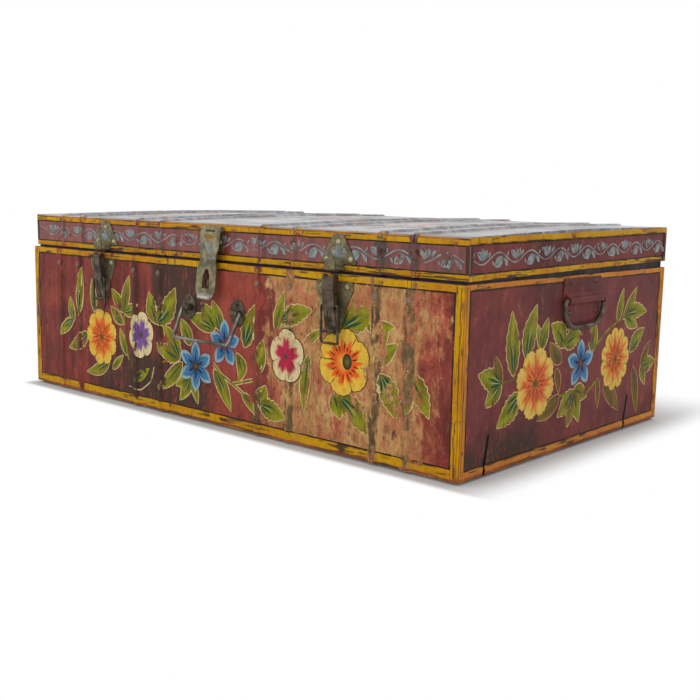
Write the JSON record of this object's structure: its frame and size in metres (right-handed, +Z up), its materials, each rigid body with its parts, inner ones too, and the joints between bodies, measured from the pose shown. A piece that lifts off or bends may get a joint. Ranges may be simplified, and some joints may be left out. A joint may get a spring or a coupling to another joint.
{
  "type": "tin trunk",
  "caption": "Shallow rectangular tin trunk with raised ribs, a rear-hinged lid, a slotted hasp with staple, draw latches, a front bail handle and end ring handles.",
  "frame": {"origin": "on the floor under the middle of the whole object, handles and fittings included", "axes": "+X along the front to the right as the front is faced, -Y out of the front, +Z up"},
  "size_m": [0.623, 0.3778, 0.2037],
  "materials": {
    "painted_tin": "gloss",
    "rim_steel": "satin",
    "hardware_steel": "satin",
    "rivet_steel": "satin",
    "bare_steel": "satin",
    "painted_strap": "satin"
  },
  "bodies": {
    "trunk": {"body_sheet_left": "painted_tin", "body_sheet_right": "painted_tin", "end_panel_left": "painted_tin", "end_panel_right": "painted_tin", "rim_front": "rim_steel", "rim_back": "rim_steel", "rim_left": "rim_steel", "rim_right": "rim_steel", "rim_rivets": "rivet_steel", "hinge_lower_left": "hardware_steel", "hinge_lower_right": "hardware_steel", "hinge_pin_left": "hardware_steel", "hinge_pin_right": "hardware_steel", "hinge_lower_rivets": "rivet_steel", "hasp_staple": "hardware_steel", "latch_base_left": "hardware_steel", "latch_base_right": "hardware_steel", "latch_base_rivets": "rivet_steel", "latch_pin_left": "hardware_steel", "latch_pin_right": "hardware_steel", "bail_eye_left": "hardware_steel", "bail_eye_right": "hardware_steel", "bail_eye_rivets": "rivet_steel", "end_strap_left": "painted_strap", "end_strap_right": "painted_strap", "end_strap_rivets": "rivet_steel"},
    "lid": {"lid_sheet": "painted_tin", "lid_end_left": "painted_tin", "lid_end_right": "painted_tin", "hinge_upper_left": "hardware_steel", "hinge_upper_right": "hardware_steel", "hinge_upper_rivets": "rivet_steel", "hasp_leaf": "hardware_steel", "hasp_pin": "hardware_steel", "hasp_leaf_rivets": "rivet_steel", "keeper_left": "hardware_steel", "keeper_right": "hardware_steel", "keeper_rivets": "rivet_steel"},
    "hasp": {"hasp": "hardware_steel"},
    "front_bail": {"front_bail": "bare_steel"},
    "left_ring": {"end_ring_left": "bare_steel"},
    "right_ring": {"end_ring_right": "bare_steel"},
    "left_lever": {"latch_lever_left": "hardware_steel"},
    "right_lever": {"latch_lever_right": "hardware_steel"},
    "left_loop": {"latch_loop_left": "bare_steel"},
    "right_loop": {"latch_loop_right": "bare_steel"}
  },
  "joints": [
    {"name": "lid_hinge", "type": "hinge", "parent": "trunk", "child": "lid", "pos_m": [0, 0.18525, 0.1637], "axis": [-1, 0, 0], "range_deg": [0, 110]},
    {"name": "hasp_hinge", "type": "hinge", "parent": "lid", "child": "hasp", "pos_m": [0.008, -0.16949, 0.1925], "axis": [-1, 0, 0], "range_deg": [-7, 165]},
    {"name": "bail_swing", "type": "hinge", "parent": "trunk", "child": "front_bail", "pos_m": [0.01, -0.17369, 0.1145], "axis": [-1, 0, 0], "range_deg": [-25, 135]},
    {"name": "left_ring_swing", "type": "hinge", "parent": "trunk", "child": "left_ring", "pos_m": [-0.308, 0.01531, 0.1383], "axis": [0, 1, 0], "range_deg": [0, 160]},
    {"name": "right_ring_swing", "type": "hinge", "parent": "trunk", "child": "right_ring", "pos_m": [0.308, 0.01531, 0.1383], "axis": [0, -1, 0], "range_deg": [0, 160]},
    {"name": "left_lever_swing", "type": "hinge", "parent": "trunk", "child": "left_lever", "pos_m": [-0.169, -0.17699, 0.1565], "axis": [1, 0, 0], "range_deg": [-120, 0]},
    {"name": "left_loop_swing", "type": "hinge", "parent": "left_lever", "child": "left_loop", "pos_m": [-0.169, -0.17689, 0.1335], "axis": [-1, 0, 0], "range_deg": [0, 172]},
    {"name": "right_lever_swing", "type": "hinge", "parent": "trunk", "child": "right_lever", "pos_m": [0.169, -0.17699, 0.1565], "axis": [1, 0, 0], "range_deg": [-120, 0]},
    {"name": "right_loop_swing", "type": "hinge", "parent": "right_lever", "child": "right_loop", "pos_m": [0.169, -0.17689, 0.1335], "axis": [-1, 0, 0], "range_deg": [0, 172]}
  ]
}
